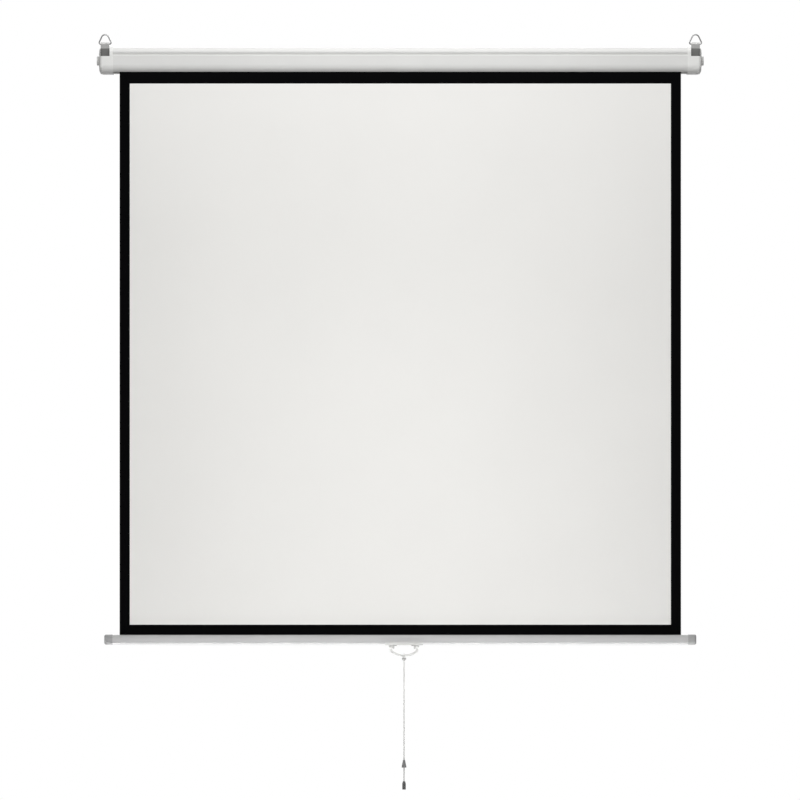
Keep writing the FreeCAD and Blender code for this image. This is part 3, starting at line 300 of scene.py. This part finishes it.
class Wardrobe:
    """Makes each finish once and hands it out by its slot."""

    def __init__(self, finishes: dict[str, Finish]) -> None:
        """Keep the finishes by slot."""
        self.finishes = finishes
        self.made: dict[str, bpy.types.Material] = {}

    def fine(
        self, tree: bpy.types.NodeTree, coords: bpy.types.NodeSocket, finish: Finish,
    ) -> bpy.types.NodeSocket:
        """Draw the fine pattern of a finish.

        Args:
            tree: The material's nodes.
            coords: Places on the object, in metres.
            finish: Whose pattern to draw.

        Returns:
            The pattern, from 0 to 1.
        """
        pattern, scale = finish.pattern, 1 / (finish.pitch_mm * MM)
        if pattern is Pattern.SPANGLE:
            cells = add_node(tree, "ShaderNodeTexVoronoi", {"Vector": coords, "Scale": scale})
            tint = {"Color": cells.outputs["Color"]}
            return add_node(tree, "ShaderNodeSeparateColor", tint).outputs["Red"]
        if pattern is Pattern.DRAWN_X:
            stretch = {"Vector": coords, "Scale": DRAWN_STRETCH}
            coords = add_node(tree, "ShaderNodeMapping", stretch).outputs["Vector"]
        if pattern is Pattern.BRAID:
            turn = {"Vector": coords, "Rotation": (0.0, BRAID_ANGLE, 0.0)}
            coords = add_node(tree, "ShaderNodeMapping", turn).outputs["Vector"]
        if pattern in (Pattern.WEAVE, Pattern.BRAID):
            # A wave's bands repeat every pi / 10 of its scaled coordinate
            threads = {"Vector": coords, "Scale": scale * math.pi / 10}
            across = add_node(tree, "ShaderNodeTexWave", threads, bands_direction="X")
            along = add_node(tree, "ShaderNodeTexWave", threads, bands_direction="Z")
            both = {0: across.outputs["Fac"], 1: along.outputs["Fac"]}
            return add_node(tree, "ShaderNodeMath", both, operation="MAXIMUM").outputs[0]
        speckle = {"Vector": coords, "Scale": scale, "Detail": NOISE_DETAIL}
        return add_node(tree, "ShaderNodeTexNoise", speckle).outputs["Fac"]

    def make(self, finish: Finish) -> bpy.types.Material:
        """Build the material of a finish.

        Args:
            finish: What to build.

        Returns:
            The finished material.
        """
        material = bpy.data.materials.new(finish.name)
        material.use_nodes = True
        tree = material.node_tree
        tree.nodes.clear()
        coords = add_node(tree, "ShaderNodeTexCoord").outputs["Object"]
        fine = self.fine(tree, coords, finish)
        drift = {"Vector": coords, "Scale": 1 / (finish.cloud_mm * MM), "Detail": NOISE_DETAIL}
        cloud = add_node(tree, "ShaderNodeTexNoise", drift).outputs["Fac"]
        terms = {0: fine, 1: FINE_SHARE, 2: cloud}
        mixed = add_node(tree, "ShaderNodeMath", terms, operation="MULTIPLY_ADD").outputs[0]
        least, most = DRIFT_RANGE
        span = {"Value": mixed, "From Min": least, "From Max": most}
        share = add_node(tree, "ShaderNodeMapRange", span).outputs[0]
        colours = {"Factor": share, MIX_FROM: linear(finish.colour), MIX_TO: linear(finish.drift)}
        colour = add_node(tree, "ShaderNodeMix", colours, data_type="RGBA").outputs[MIX_OUT]
        # Painted shade: below a given height the colour turns to a darker one, standing in for the shade
        # of a recess
        if finish.painted_shade:
            height = add_node(tree, "ShaderNodeSeparateXYZ", {"Vector": coords}).outputs["Z"]
            below = {0: height, 1: finish.painted_shade_z}
            low = add_node(tree, "ShaderNodeMath", below, operation="LESS_THAN").outputs[0]
            parts = {"Factor": low, MIX_FROM: colour, MIX_TO: linear(finish.painted_shade)}
            colour = add_node(tree, "ShaderNodeMix", parts, data_type="RGBA").outputs[MIX_OUT]
        smooth, rough = finish.roughness
        gloss = add_node(tree, "ShaderNodeMapRange", {"Value": cloud, "To Min": smooth, "To Max": rough})
        relief = {"Height": fine, "Strength": BUMP_STRENGTH, "Distance": finish.relief_mm * MM}
        bump = add_node(tree, "ShaderNodeBump", relief)
        shader = add_node(tree, "ShaderNodeBsdfPrincipled", {
            "Base Color": colour,
            "Roughness": gloss.outputs[0],
            "Normal": bump.outputs[0],
            "IOR": finish.ior,
            "Metallic": finish.metallic,
            "Coat Weight": finish.coat,
            "Sheen Weight": finish.sheen,
            "Specular IOR Level": finish.specular,
        })
        add_node(tree, "ShaderNodeOutputMaterial", {"Surface": shader.outputs[0]})
        return material

    def get(self, slot: str) -> bpy.types.Material:
        """Find the material of a slot, or make it.

        Args:
            slot: The slot's name.

        Returns:
            Its material.
        """
        if slot not in self.made:
            self.made[slot] = self.make(self.finishes[slot])
        return self.made[slot]

    def dress(self, piece: bpy.types.Object, slot: str) -> None:
        """Give a whole piece one slot's material.

        Args:
            piece: What to dress.
            slot: The slot's name.
        """
        piece.data.materials.clear()
        piece.data.materials.append(self.get(slot))
        log.info("dressed %s in %s", piece.name, self.finishes[slot].name)


@dataclass
class Assembly:
    """A sub-assembly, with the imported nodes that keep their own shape.

    Attributes:
        wardrobe: Where its materials come from.
        nodes: Names of those nodes.
        crease: Angle above which an edge stays sharp, in degrees.
    """

    wardrobe: Wardrobe
    nodes: tuple[str, ...] = ()
    crease: float = 32.0

    def build(self) -> None:
        """Dress the nodes, and shade them smooth between their sharp edges."""
        for name in self.nodes:
            node = frame["nodes"][name]
            self.wardrobe.dress(node, SLOT_OF[name])
            node.data.polygons.foreach_set("use_smooth", [True] * len(node.data.polygons))
            node.data.set_sharp_from_angle(angle=math.radians(self.crease))

    def mesh_piece(
        self, name: str, verts: Sequence[Point], faces: Sequence[Sequence[int]], body: str,
    ) -> bpy.types.Object:
        """Make a piece from its corners and faces.

        Args:
            name: The piece's name.
            verts: Its corners.
            faces: Its faces, as numbers of corners.
            body: The body that it rides on.

        Returns:
            The new piece.
        """
        mesh = bpy.data.meshes.new(name)
        mesh.from_pydata(verts, [], faces)
        mesh.update()
        piece = bpy.data.objects.new(name, mesh)
        bpy.context.scene.collection.objects.link(piece)
        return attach(piece, body)

    def cord_piece(
        self, name: str, route: Sequence[Point], diameter: float, body: str,
    ) -> bpy.types.Object:
        """Make a length of cord as one smooth curve.

        Args:
            name: The piece's name.
            route: Its control points.
            diameter: Thickness of the cord.
            body: The body that it rides on.

        Returns:
            The new piece.
        """
        curve = bpy.data.curves.new(name, "CURVE")
        curve.dimensions = "3D"
        curve.bevel_depth = 1.0
        curve.bevel_resolution = CORD_ROUND
        curve.use_fill_caps = True
        spline = curve.splines.new("NURBS")
        spline.points.add(len(route) - 1)
        for point, place in zip(spline.points, route):
            point.co = (*place, 1)
            # The points carry the thickness, so that the curve's own box is the cord's
            point.radius = diameter / 2
        spline.order_u = CORD_ORDER
        spline.use_endpoint_u = True
        spline.resolution_u = CORD_STEPS
        piece = bpy.data.objects.new(name, curve)
        bpy.context.scene.collection.objects.link(piece)
        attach(piece, body)
        self.wardrobe.dress(piece, "cord_fibre")
        return piece

    def ribbon_piece(
        self, name: str, path: Sequence[Flat], thick: float, width: float, body: str,
    ) -> bpy.types.Object:
        """Make cloth of even thickness whose section follows a path.

        Args:
            name: The piece's name.
            path: The middle of the cloth, as (y, z).
            thick: Thickness of the cloth.
            width: Its size along X.
            body: The body that it rides on.

        Returns:
            The new piece.
        """
        runs = [(Vector(b) - Vector(a)).normalized() for a, b in zip(path, path[1:])]
        sides: list[list[Vector]] = [[], []]
        for place, before, after in zip(path, runs[:1] + runs, runs + runs[-1:]):
            aside = Vector((-before[1] - after[1], before[0] + after[0])).normalized()
            square = Vector((-before[1], before[0]))
            reach = thick / 2 / max(aside.dot(square), LEAST_MITRE)
            sides[0].append(Vector(place) + aside * reach)
            sides[1].append(Vector(place) - aside * reach)
        outline = sides[0] + sides[1][::-1]
        count, last = len(outline), len(path) - 1
        verts = [(x, y, z) for x in (-width / 2, width / 2) for y, z in outline]
        faces = [(i, (i + 1) % count, count + (i + 1) % count, count + i) for i in range(count)]
        for end, turn in ((0, 1), (count, -1)):
            for i in range(last):
                far = end + count - 1 - i
                faces.append((end + i, far, far - 1, end + i + 1)[::turn])
        piece = self.mesh_piece(name, verts, faces, body)
        self.wardrobe.dress(piece, "border_vinyl")
        return piece


@dataclass
class Housing(Assembly):
    """The casing with its end caps, the straps that carry it, the bushes and the screws."""

    nodes: tuple[str, ...] = (
        "casing", "left_end_cap", "right_end_cap", "left_hanging_strap", "right_hanging_strap",
        "idle_bush", "spindle_bush", "cap_screws", "strap_screws",
    )


@dataclass
class HangingRings(Assembly):
    """The two wire rings that the screen hangs by."""

    nodes: tuple[str, ...] = ("left_hanging_ring", "right_hanging_ring")


@dataclass
class Roller(Assembly):
    """The tube with its plugs and pin, and the cloth that stays wound on it.

    Attributes:
        axis_z: Height of the axis.
        inside: Radius at which the winding starts.
        thick: Thickness of the cloth.
        pitch: Radial room for one layer.
        turns: Number of turns.
        steps: Straight runs in one turn.
        width: Width of the cloth.
    """

    nodes: tuple[str, ...] = ("roller_tube", "idle_plug", "lock_plug", "idle_pin")
    axis_z: float = -0.076
    inside: float = 0.01905
    thick: float = 0.00034
    pitch: float = 0.00038
    turns: int = 2
    steps: int = 64
    width: float = 1.66

    def build(self) -> None:
        """Dress the nodes and wind the cloth, which ends at the front, where the sheet hangs down."""
        super().build()
        path = []
        for i in range(self.turns * self.steps + 1):
            turn = i / self.steps
            # Wound tight: a turn presses into the one before, and both stay in the room of two layers
            radius = self.inside + self.pitch / 2 + (self.pitch - self.thick / 2) * turn
            angle = math.pi + 2 * math.pi * turn
            path.append((radius * math.cos(angle), self.axis_z + radius * math.sin(angle)))
        roll = self.ribbon_piece("roll", path, self.thick, self.width, "roller")
        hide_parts("fabric_roll")
        log.info("wound %d turns on the roller", self.turns)


@dataclass
class SpringLock(Assembly):
    """The spring motor inside the tube, and the ratchet and pawls that stop it."""

    nodes: tuple[str, ...] = (
        "spring_spindle", "spring_anchor", "torsion_spring", "ratchet_wheel",
        "upper_pawl", "lower_pawl", "pawl_pins",
    )


@dataclass
class Sheet(Assembly):
    """The hanging sheet: white picture, black border printed round it, black back and a hem.

    Attributes:
        picture: Width and height of the picture area.
        border: Width of the black edge at each side.
        middle_y: Middle plane of the cloth.
        thick: Thickness of the cloth.
        top: Height at which the sheet leaves the roller.
        picture_top: Height of the picture's upper edge.
        lift: How far the bar rises; not used.
        clear: How far the raised sheet ends above the hem, inside the casing; not used.
        columns: Cells across the picture.
        rows: Cells down the picture.
        rod_z: Height of the rod in the hem.
        pocket: Radius of the hem's pocket, at the middle of the cloth.
        pinch: How far above the rod the two layers of the hem meet.
        weld: Height of the strip where they are welded together.
        pocket_steps: Straight runs round the pocket.
    """

    nodes: tuple[str, ...] = ("hem_rod",)
    picture: Flat = (1.6, 1.6)
    border: float = 0.03
    middle_y: float = -0.0203
    thick: float = 0.00038
    top: float = -0.076
    picture_top: float = -0.144
    lift: float = 1.656
    clear: float = 0.0002
    columns: int = 40
    rows: int = 40
    rod_z: float = -1.77863
    pocket: float = 0.00276
    pinch: float = 0.005
    weld: float = 0.012
    pocket_steps: int = 24

    @property
    def low(self) -> float:
        """Height of the picture's lower edge."""
        return self.picture_top - self.picture[1]

    @property
    def width(self) -> float:
        """Width of the cloth."""
        return self.picture[0] + 2 * self.border

    def cloth(self) -> bpy.types.Object:
        """Make the sheet down to the picture's lower edge.

        Returns:
            The sheet, with one material for the picture and one for the rest.
        """
        half, (wide, high) = self.picture[0] / 2, self.picture
        xs = [-half + wide * i / self.columns for i in range(self.columns + 1)]
        xs = [-half - self.border, *xs, half + self.border]
        zs = [self.top] + [self.picture_top - high * i / self.rows for i in range(self.rows + 1)]
        across, down = len(xs), len(zs)
        layer = across * down
        front_y, back_y = self.middle_y - self.thick / 2, self.middle_y + self.thick / 2
        verts = [(x, y, z) for y in (front_y, back_y) for z in zs for x in xs]
        faces, printed = [], []
        for j in range(down - 1):
            for i in range(across - 1):
                a = j * across + i
                cell = (a, a + across, a + across + 1, a + 1)
                faces += [cell, tuple(v + layer for v in reversed(cell))]
                printed += [j == 0 or i in (0, across - 2), True]
        rim = [j * across for j in range(down)]
        rim += [(down - 1) * across + i for i in range(1, across)]
        rim += [j * across + across - 1 for j in reversed(range(down - 1))]
        rim += list(reversed(range(1, across - 1)))
        for a, b in zip(rim, rim[1:] + rim[:1]):
            faces.append((a, a + layer, b + layer, b))
            printed.append(True)
        sheet = self.mesh_piece("sheet", verts, faces, "housing")
        self.wardrobe.dress(sheet, "screen_vinyl")
        sheet.data.materials.append(self.wardrobe.get("border_vinyl"))
        sheet.data.polygons.foreach_set("material_index", [int(p) for p in printed])
        return sheet

    def hem(self) -> bpy.types.Object:
        """Make the strip below the picture, folded round the rod and welded to its own back.

        Returns:
            The hem, riding on the bar.
        """
        touch = math.asin(self.pocket / self.pinch)
        meet = self.rod_z + self.pinch
        path = [(self.middle_y, self.low), (self.middle_y, meet + self.weld), (self.middle_y, meet)]
        sweep = math.pi + 2 * touch
        for i in range(self.pocket_steps + 1):
            angle = math.pi - touch + sweep * i / self.pocket_steps
            out, up = self.pocket * math.cos(angle), self.pocket * math.sin(angle)
            path.append((self.middle_y + out, self.rod_z + up))
        behind = self.middle_y + self.thick
        path += [(behind, meet), (behind, meet + self.weld)]
        hem = self.ribbon_piece("hem", path, self.thick, self.width, "bottom_bar")
        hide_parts("fabric_hem")
        return hem

    def build(self) -> None:
        """Make the sheet and its hem."""
        super().build()
        sheet, hem = self.cloth(), self.hem()
        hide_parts("screen_fabric")
        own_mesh(sheet)


@dataclass
class BottomBar(Assembly):
    """The weighted bar at the sheet's lower edge, with its end caps."""

    nodes: tuple[str, ...] = ("bottom_bar_tube", "bar_left_cap", "bar_right_cap")


@dataclass
class Handle(Assembly):
    """The saddle under the bar and the bail that swings on it."""

    nodes: tuple[str, ...] = ("handle_saddle", "handle_bail", "handle_pins", "handle_screws")


@dataclass
class PullCord(Assembly):
    """The cord: looped round the bail, gathered in a ferrule, then down through its bead to the knob.

    Attributes:
        x: Place along the bar.
        y: Plane in which it hangs.
        bail_z: Height of the bail's lowest run.
        top: Height where it leaves the ferrule.
        low: Height where it enters the knob.
        diameter: Thickness of the cord.
        lead: Diameters from the ferrule to the next control point.
        loop_reach: Distance of the loop's control points from the bail.
        loop_angles: Their angles from straight up, in degrees.
        loop_foot: Where each end of the loop goes into the ferrule, beside and below the bail.
    """

    nodes: tuple[str, ...] = ("cord_ferrule", "cord_bead", "cord_knob")
    x: float = 0.011
    y: float = -0.0203
    bail_z: float = -1.8358
    top: float = -1.8505
    low: float = -2.2073
    diameter: float = 0.0034
    lead: float = 6.0
    loop_reach: float = 0.00597
    loop_angles: tuple[float, ...] = (-115.0, -69.0, -23.0, 23.0, 69.0, 115.0)
    loop_foot: Flat = (0.0018, -0.0075)

    def loop(self) -> bpy.types.Object:
        """Lay the cord round the bail.

        Returns:
            The loop, open at its foot.
        """
        aside, down = self.loop_foot
        turns = [math.radians(a) for a in self.loop_angles]
        ring = [(self.loop_reach * math.sin(a), self.loop_reach * math.cos(a)) for a in turns]
        places = [(-aside, down), *ring, (aside, down)]
        route = [(self.x, self.y + across, self.bail_z + up) for across, up in places]
        loop = self.cord_piece("loop", route, self.diameter, "pull_cord")
        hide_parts("cord_loop")
        return loop

    def build(self) -> None:
        """Dress the fittings and hang the cord."""
        super().build()
        loop = self.loop()
        # A point just below the ferrule and one halfway keep the hanging cord straight
        heights = (self.top, self.top - self.lead * self.diameter, (self.top + self.low) / 2, self.low)
        route = [(self.x, self.y, z) for z in heights]
        cord = self.cord_piece("cord", route, self.diameter, "pull_cord")
        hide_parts("cord_upper", "cord_lower")
        log.info("hung the cord, %.3f m", self.top - self.low)


@dataclass(frozen=True)
class Lamp:
    """One soft light.

    Attributes:
        name: Its name.
        place: Where it stands.
        target: What it faces.
        size: Width and height of its face.
        power: Power in watts.
        spread: Angle of its beam in degrees.
    """

    name: str
    place: Point
    target: Point
    size: Flat
    power: float
    spread: float = 180.0

    def build(self) -> None:
        """Put the light in the scene."""
        data = bpy.data.lights.new(self.name, "AREA")
        data.shape = "RECTANGLE"
        data.size, data.size_y = self.size
        data.energy = self.power
        data.spread = math.radians(self.spread)
        lamp = bpy.data.objects.new(self.name, data)
        lamp.visible_camera = False
        lamp.location = self.place
        towards = Vector(self.target) - Vector(self.place)
        lamp.rotation_euler = towards.to_track_quat("-Z", "Y").to_euler()
        bpy.context.scene.collection.objects.link(lamp)


@dataclass
class Studio:
    """Camera, lights, floor and white surround.

    Attributes:
        wardrobe: Where the floor's paint comes from.
        view_width: Width that the picture takes in, at the sheet.
        lens_mm: Focal length.
        sensor_mm: Width of the sensor.
        sight: How far the camera sees.
        centre: What the camera faces.
        floor_z: Height of the floor.
        floor_x: Half the floor's width.
        floor_y: Its front and back edges.
        floor_pale: sRGB colour of the share that glows.
        floor_glow: Share of the floor that looks pale whatever light falls on it.
        surround_white: sRGB colour of the surround.
        fill: Strength of the even light from all round.
        lamps: The lights.
    """

    wardrobe: Wardrobe
    view_width: float = 2.3656
    lens_mm: float = 240.0
    sensor_mm: float = 36.0
    sight: float = 60.0
    centre: Point = (-0.0009, -0.0203, -1.0796)
    floor_z: float = -3.0
    floor_x: float = 9.0
    floor_y: Flat = (-12.0, 8.0)
    floor_pale: str = "EEEEEE"
    floor_glow: float = 0.7
    surround_white: str = "FFFFFF"
    fill: float = 0.18
    lamps: tuple[Lamp, ...] = (
        Lamp(
            "high_strip", place=(0.0, -2.2, 1.5), target=(0.0, 0.0, -0.5),
            size=(2.0, 1.2), power=72.0,
        ),
        Lamp(
            "low_strip", place=(0.0, -2.3, -2.1), target=(0.0, 0.0, -1.3),
            size=(2.0, 1.0), power=3.5, spread=55.0,
        ),
        Lamp(
            "back_strip", place=(0.0, 2.4, 0.6), target=(0.0, 0.0, -0.6),
            size=(2.4, 1.6), power=45.0,
        ),
        Lamp(
            "overhead", place=(0.0, -0.05, 1.3), target=(0.0, 0.0, 0.0),
            size=(3.0, 0.5), power=7.0,
        ),
        Lamp(
            "kicker", place=(0.0, -0.14, -2.36), target=(0.0, -0.025, -1.8),
            size=(2.2, 0.12), power=0.75, spread=22.0,
        ),
    )

    def camera(self) -> None:
        """Stand the camera square in front of the sheet."""
        data = bpy.data.cameras.new("camera")
        data.sensor_width = self.sensor_mm
        data.lens = self.lens_mm
        data.clip_end = self.sight
        camera = bpy.data.objects.new("camera", data)
        distance = self.view_width * self.lens_mm / self.sensor_mm
        camera.location = Vector(self.centre) - Vector((0.0, distance, 0.0))
        camera.rotation_euler = (math.pi / 2, 0.0, 0.0)
        bpy.context.scene.collection.objects.link(camera)
        bpy.context.scene.camera = camera

    def seen(self, tree: bpy.types.NodeTree) -> bpy.types.NodeSocket:
        """Tell the rays that see a surface from those that only light others.

        Args:
            tree: Where the answer is needed.

        Returns:
            1 for a ray from the camera, a reflection or a refraction, and otherwise 0.
        """
        path = add_node(tree, "ShaderNodeLightPath")
        seen = path.outputs["Is Camera Ray"]
        for ray in ("Is Glossy Ray", "Is Transmission Ray"):
            either = {0: seen, 1: path.outputs[ray]}
            seen = add_node(tree, "ShaderNodeMath", either, operation="MAXIMUM").outputs[0]
        return seen

    def floor(self) -> None:
        """Lay a plain pale floor, which still takes the object's shadow."""
        front, back = self.floor_y
        side = self.floor_x
        corners = [(-side, front), (side, front), (side, back), (-side, back)]
        mesh = bpy.data.meshes.new("floor")
        mesh.from_pydata([(x, y, self.floor_z) for x, y in corners], [], [(0, 1, 2, 3)])
        paint = self.wardrobe.get("floor_paint")
        tree = paint.node_tree
        surface = tree.nodes["Material Output"].inputs["Surface"]
        pale = add_node(tree, "ShaderNodeEmission", {"Color": linear(self.floor_pale)})
        glow = {0: self.seen(tree), 1: self.floor_glow}
        share = add_node(tree, "ShaderNodeMath", glow, operation="MULTIPLY").outputs[0]
        layers = {0: share, 1: surface.links[0].from_socket, 2: pale.outputs[0]}
        tree.links.new(add_node(tree, "ShaderNodeMixShader", layers).outputs[0], surface)
        mesh.materials.append(paint)
        floor = bpy.data.objects.new("floor", mesh)
        bpy.context.scene.collection.objects.link(floor)

    def surround(self) -> None:
        """White to the camera and in reflections, and an even soft light to everything else."""
        world = bpy.data.worlds.new("surround")
        bpy.context.scene.world = world
        world.use_nodes = True
        tree = world.node_tree
        rays = {"Value": self.seen(tree), "To Min": self.fill, "To Max": 1.0}
        strength = add_node(tree, "ShaderNodeMapRange", rays)
        back = tree.nodes["Background"]
        back.inputs["Color"].default_value = linear(self.surround_white)
        tree.links.new(strength.outputs[0], back.inputs["Strength"])

    def build(self) -> None:
        """Set up everything round the object."""
        self.camera()
        self.floor()
        self.surround()
        for lamp in self.lamps:
            lamp.build()
        bpy.context.scene.view_settings.view_transform = "Standard"
        log.info("studio ready")


def main() -> None:
    """Build the screen and its studio."""
    wardrobe = Wardrobe(FINISHES)
    for assembly in (Housing, HangingRings, Roller, SpringLock, Sheet, BottomBar, Handle, PullCord):
        assembly(wardrobe).build()
        log.info("built %s", assembly.__name__)
    Studio(wardrobe).build()


if __name__ == "__main__":
    main()
